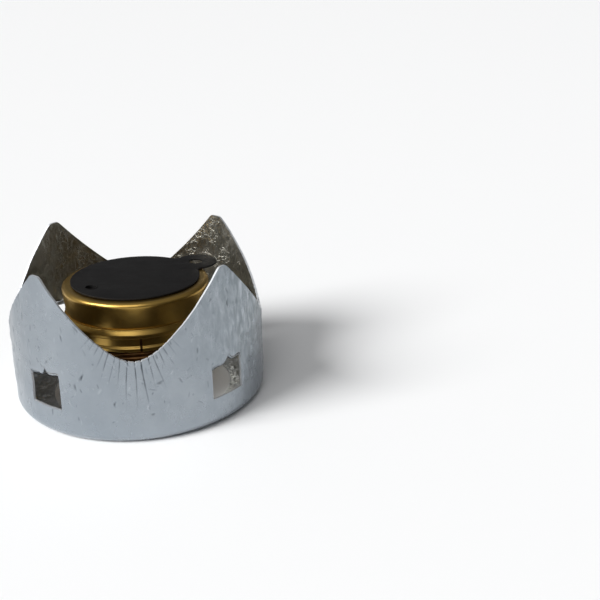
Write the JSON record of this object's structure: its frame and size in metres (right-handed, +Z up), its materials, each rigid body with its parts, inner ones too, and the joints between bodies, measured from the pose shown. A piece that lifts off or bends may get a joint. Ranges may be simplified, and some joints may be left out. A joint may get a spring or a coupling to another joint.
{
  "type": "alcohol spirit stove",
  "caption": "Spirit stove: notched aluminium windscreen that carries the pot, brass spirit burner standing in its open floor, and brass simmer ring with a swivelling cover.",
  "frame": {"origin": "on the ground under the centre of the stand, the middle of the underside of its bounding box", "axes": "+Z up along the axis of stand and burner; -Y towards one notch of the stand, with an air port either side of it"},
  "size_m": [0.1288, 0.1288, 0.0795],
  "materials": {
    "stand_aluminium": "satin, drawn, with fine wrinkles",
    "ring_brass": "satin, turned",
    "burner_brass": "satin, darkened by use",
    "cover_black": "matt black coating",
    "wick_cotton": "packed cotton"
  },
  "bodies": {
    "stand": {"windscreen_stand": "stand_aluminium"},
    "burner": {"burner_cup": "burner_brass", "jet_sleeve": "burner_brass", "wick_ring": "wick_cotton"},
    "simmer": {"simmer_ring": "ring_brass", "pivot_rivet": "cover_black"},
    "cover": {"simmer_cover": "cover_black"}
  },
  "joints": [
    {"name": "burner_lift", "type": "slide", "parent": "stand", "child": "burner", "axis": [0, 0, 1], "range_m": [0, 0.085]},
    {"name": "simmer_ring_lift", "type": "slide", "parent": "burner", "child": "simmer", "axis": [0, 0, 1], "range_m": [0, 0.03]},
    {"name": "cover_swivel", "type": "hinge", "parent": "simmer", "child": "cover", "pos_m": [-0.02129, -0.0133, 0.06075], "axis": [0, 0, 1], "range_deg": [-45, 45]}
  ]
}
